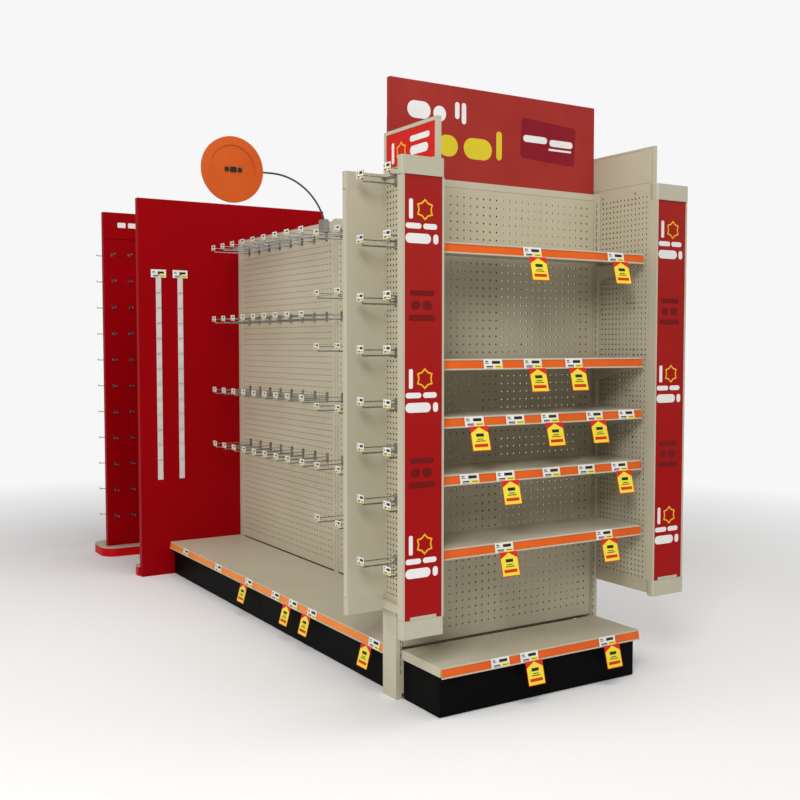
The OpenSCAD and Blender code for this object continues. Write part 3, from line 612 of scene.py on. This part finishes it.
low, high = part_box("header_sign")
head = Sheet()
origin, u, v, n = (0, low.y, 0), (1, 0, 0), (0, 0, 1), (0, -1, 0)
for cu, cv, w, h in ((-0.358, 2.130, 0.100, 0.062), (-0.268, 2.126, 0.056, 0.056),
                     (-0.190, 2.146, 0.020, 0.062), (-0.160, 2.138, 0.020, 0.078)):
    head.extrude(roundedBar(cu, cv, w, h), origin, u, v, n, 0, 0.0003, 0)
for cu, cv, w, h in ((-0.232, 2.014, 0.090, 0.078), (-0.096, 2.014, 0.130, 0.078),
                     (0.003, 2.036, 0.026, 0.108)):
    head.extrude(roundedBar(cu, cv, w, h), origin, u, v, n, 0, 0.0003, 1)
card = dict(middle=(0.244, 2.072), size=(0.272, 0.152), turn=-3.0, round=0.016)
c, t = math.cos(math.radians(card["turn"])), math.sin(math.radians(card["turn"]))
turned = [(card["middle"][0] + a * c - b * t, card["middle"][1] + a * t + b * c)
          for a, b in roundedBar(0, 0, card["size"][0], card["size"][1], card["round"])]
head.extrude(turned, origin, u, v, n, 0, 0.0003, 2)
for cu, cv, w, h in ((0.178, 2.078, 0.118, 0.026), (0.308, 2.072, 0.118, 0.026),
                     (0.302, 2.046, 0.116, 0.008)):
    head.extrude(roundedBar(cu, cv, w, h), origin, u, v, n, 0.0003, 0.0003, 0)
head.make("headerPrints", "frame", [printWhite, printYellow, headerDeep])

low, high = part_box("card_wall")
band = Sheet()
u, v, n = (1, 0, 0), (0, 0, 1), (0, -1, 0)
bandFace = min(c.co.y for c in nodes["card_wall"].data.vertices
               if c.co.z > high.z - 0.1 and c.co.x < low.x + 0.08)
origin = (low.x, bandFace, high.z)
for cu, w in ((0.110, 0.050), (0.180, 0.060)):
    band.extrude(roundedBar(cu, -0.075, w, 0.030, 0.006), origin, u, v, n, 0, 0.0003, 0)
band.make("cardBandPrints", "frame", [printWhite])

for k in (1, 2):
    body = "clip_strip_%d" % k
    low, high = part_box(body)
    holder = Sheet()
    face = min(c.co.y for c in nodes[body].data.vertices if c.co.z > high.z - 0.03)
    priceLabel(holder, ((low.x + high.x) / 2, face, high.z - 0.001), (1, 0, 0), (0, 0, 1), (0, -1, 0),
               0, 0.082, 0.040)
    holder.make("stripLabel_%d" % k, body, [labelWhite, labelYellow, labelInk])
print("graphics printed")


floor = dict(reach=30.0, colour=rgb(241, 240, 239), fadeFrom=2.4, fadeTo=5.5, middle=(-0.1, 1.3))
backdrop = rgb(247, 247, 247)
ambient = 0.46       # share of the backdrop's light that reaches the object

mesh = bpy.data.meshes.new("shopFloor")
half = floor["reach"]
mesh.from_pydata([(-half, -half, 0), (half, -half, 0), (half, half, 0), (-half, half, 0)], [], [[0, 1, 2, 3]])
ground = bpy.data.objects.new("shopFloor", mesh)
bpy.context.scene.collection.objects.link(ground)
paleFloor, tree, shader, coords = startMaterial("paleFloor")
shader.inputs["Roughness"].default_value = 0.8
speckle = addNoise(tree, coords, 60, 2)
mottled = addMix(tree, speckle.outputs["Fac"], floor["colour"], rgb(238, 237, 236))
tree.links.new(mottled, shader.inputs["Base Color"])
shift = tree.nodes.new("ShaderNodeVectorMath")
shift.operation = "SUBTRACT"
shift.inputs[1].default_value = (floor["middle"][0], floor["middle"][1], 0)
tree.links.new(coords.outputs["Object"], shift.inputs[0])
length = tree.nodes.new("ShaderNodeVectorMath")
length.operation = "LENGTH"
tree.links.new(shift.outputs["Vector"], length.inputs[0])
fade = addRange(tree, length.outputs["Value"], floor["fadeFrom"], floor["fadeTo"], 0, 1)
clear = tree.nodes.new("ShaderNodeBsdfTransparent")
blend = tree.nodes.new("ShaderNodeMixShader")
tree.links.new(fade, blend.inputs[0])
tree.links.new(shader.outputs[0], blend.inputs[1])
tree.links.new(clear.outputs[0], blend.inputs[2])
tree.links.new(blend.outputs[0], tree.nodes["Material Output"].inputs["Surface"])
mesh.materials.append(paleFloor)

world = bpy.data.worlds.new("studio")
world.use_nodes = True
sky = world.node_tree
back = sky.nodes["Background"]
back.inputs["Color"].default_value = backdrop
path = sky.nodes.new("ShaderNodeLightPath")
strength = sky.nodes.new("ShaderNodeMapRange")
strength.inputs["To Min"].default_value = ambient
strength.inputs["To Max"].default_value = 1.0
sky.links.new(path.outputs["Is Camera Ray"], strength.inputs["Value"])
sky.links.new(strength.outputs["Result"], back.inputs["Strength"])
bpy.context.scene.world = world
bpy.context.scene.view_settings.view_transform = "Standard"

lamps = {"keyLight": dict(place=(-4.2, -4.4, 4.4), aim=(0, 0.4, 0.9), size=2.2, power=232),
         "topLight": dict(place=(0.6, -1.0, 6.0), aim=(0, 1.2, 0.0), size=4.0, power=150),
         "sideLight": dict(place=(-5.2, 1.6, 3.4), aim=(-0.4, 1.6, 0.9), size=2.4, power=70)}
for name, lamp in lamps.items():
    data = bpy.data.lights.new(name, "AREA")
    data.size = lamp["size"]
    data.energy = lamp["power"]
    light = bpy.data.objects.new(name, data)
    light.location = lamp["place"]
    light.rotation_euler = (Vector(lamp["aim"]) - Vector(lamp["place"])).to_track_quat("-Z", "Y").to_euler()
    bpy.context.scene.collection.objects.link(light)
print("floor and light set")
